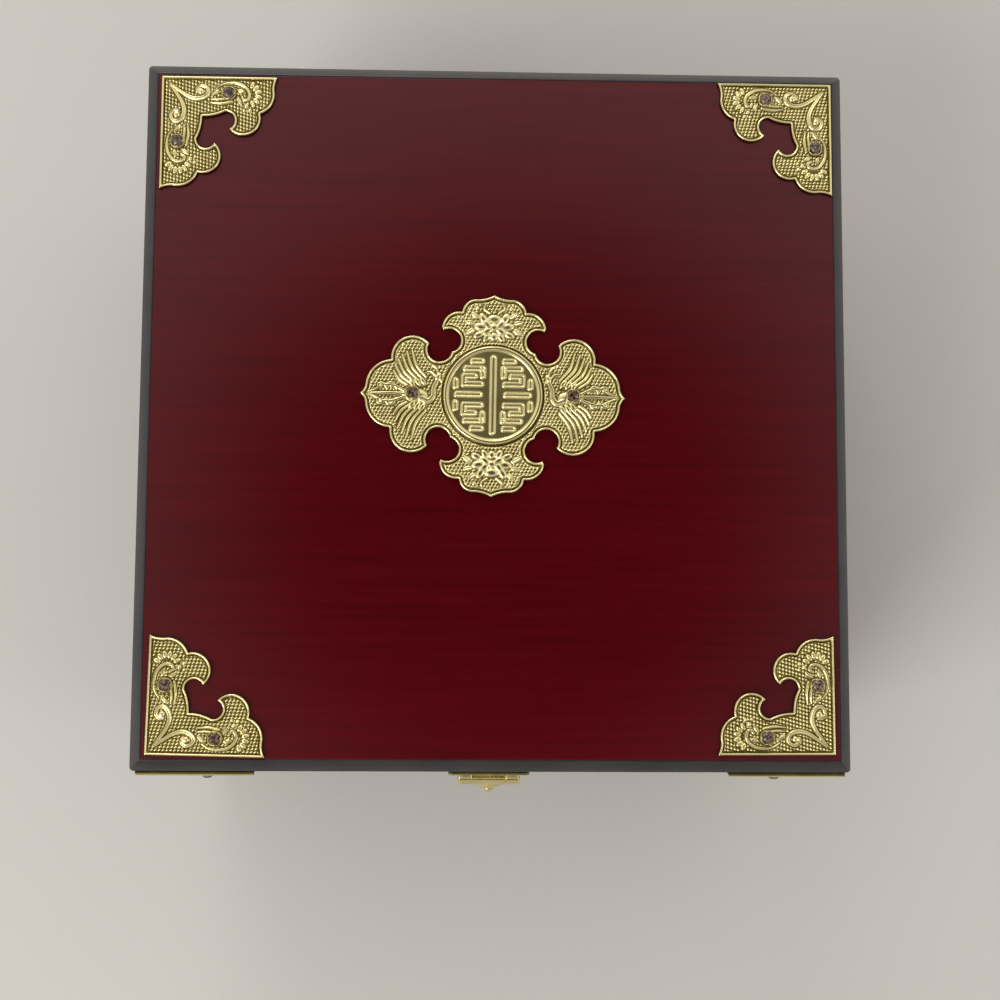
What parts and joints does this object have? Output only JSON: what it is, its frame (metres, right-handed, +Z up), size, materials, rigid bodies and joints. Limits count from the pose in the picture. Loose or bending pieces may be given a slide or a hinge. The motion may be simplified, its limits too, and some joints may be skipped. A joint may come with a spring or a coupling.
{
  "type": "jewelry box with drawer",
  "caption": "Square wooden jewelry box with a hinged mirror lid, brass corner ornaments, medallion and clasp, velvet compartments and a drawer with a bail pull.",
  "frame": {"origin": "on the floor under the middle of the box", "axes": "+X along the front to the right as the front is looked at, +Y from the front to the back, +Z up"},
  "size_m": [0.25, 0.2641, 0.153],
  "materials": {
    "red_wood": "satin red stain",
    "black_lacquer": "black satin lacquer",
    "plain_wood": "bare sanded wood",
    "brass": "stamped and polished",
    "smoke_stone": "cut and polished",
    "velvet": "short pile velvet",
    "green_felt": "pressed felt",
    "mirror_glass": "silvered"
  },
  "bodies": {
    "case": {"back_panel": "red_wood", "base_felt": "green_felt", "bottom_board": "plain_wood", "catch_nails": "brass", "catch_plate": "brass", "compartment_floor": "plain_wood", "drawer_runner_left": "plain_wood", "drawer_runner_right": "plain_wood", "drawer_stop": "plain_wood", "front_rail": "red_wood", "hinge_case_leaves": "brass", "hinge_case_screws": "brass", "hinge_pins": "brass", "plinth": "black_lacquer", "ring_cushion": "velvet", "side_left": "red_wood", "side_right": "red_wood", "tray_dividers": "velvet", "tray_floor_card": "velvet", "wall_linings": "velvet"},
    "lid": {"clasp_nails": "brass", "clasp_pin": "brass", "clasp_plate": "brass", "front_corners": "brass", "hinge_lid_leaves": "brass", "hinge_lid_screws": "brass", "lid_corner_back_left": "brass", "lid_corner_back_right": "brass", "lid_corner_front_left": "brass", "lid_corner_front_right": "brass", "lid_edge_back": "black_lacquer", "lid_edge_front": "black_lacquer", "lid_edge_left": "black_lacquer", "lid_edge_right": "black_lacquer", "lid_lining_cards": "velvet", "lid_skirt_back": "red_wood", "lid_skirt_front": "red_wood", "lid_skirt_left": "red_wood", "lid_skirt_right": "red_wood", "lid_stones": "smoke_stone", "lid_top_panel": "red_wood", "medallion_disc": "brass", "medallion_plate": "brass", "mirror": "mirror_glass", "mirror_frame": "red_wood"},
    "hasp": {"hasp_tongue": "brass"},
    "drawer": {"drawer_back": "plain_wood", "drawer_bottom": "plain_wood", "drawer_corners": "brass", "drawer_divider": "velvet", "drawer_floor_card": "velvet", "drawer_front": "red_wood", "drawer_side_left": "plain_wood", "drawer_side_right": "plain_wood", "drawer_stones": "smoke_stone", "pull_bolts": "brass", "pull_nuts": "brass", "pull_plate": "brass"},
    "bail": {"drawer_bail": "brass"}
  },
  "joints": [
    {"name": "lid_hinge", "type": "hinge", "parent": "case", "child": "lid", "pos_m": [0, 0.1279, 0.102], "axis": [-1, 0, 0], "range_deg": [0, 100]},
    {"name": "hasp_hinge", "type": "hinge", "parent": "lid", "child": "hasp", "pos_m": [-0.0012, -0.1283, 0.14], "axis": [-1, 0, 0], "range_deg": [0, 100]},
    {"name": "drawer_slide", "type": "slide", "parent": "case", "child": "drawer", "axis": [0, -1, 0], "range_m": [0, 0.15]},
    {"name": "bail_hinge", "type": "hinge", "parent": "drawer", "child": "bail", "pos_m": [0, -0.1302, 0.045], "axis": [-1, 0, 0], "range_deg": [-4, 184]}
  ]
}
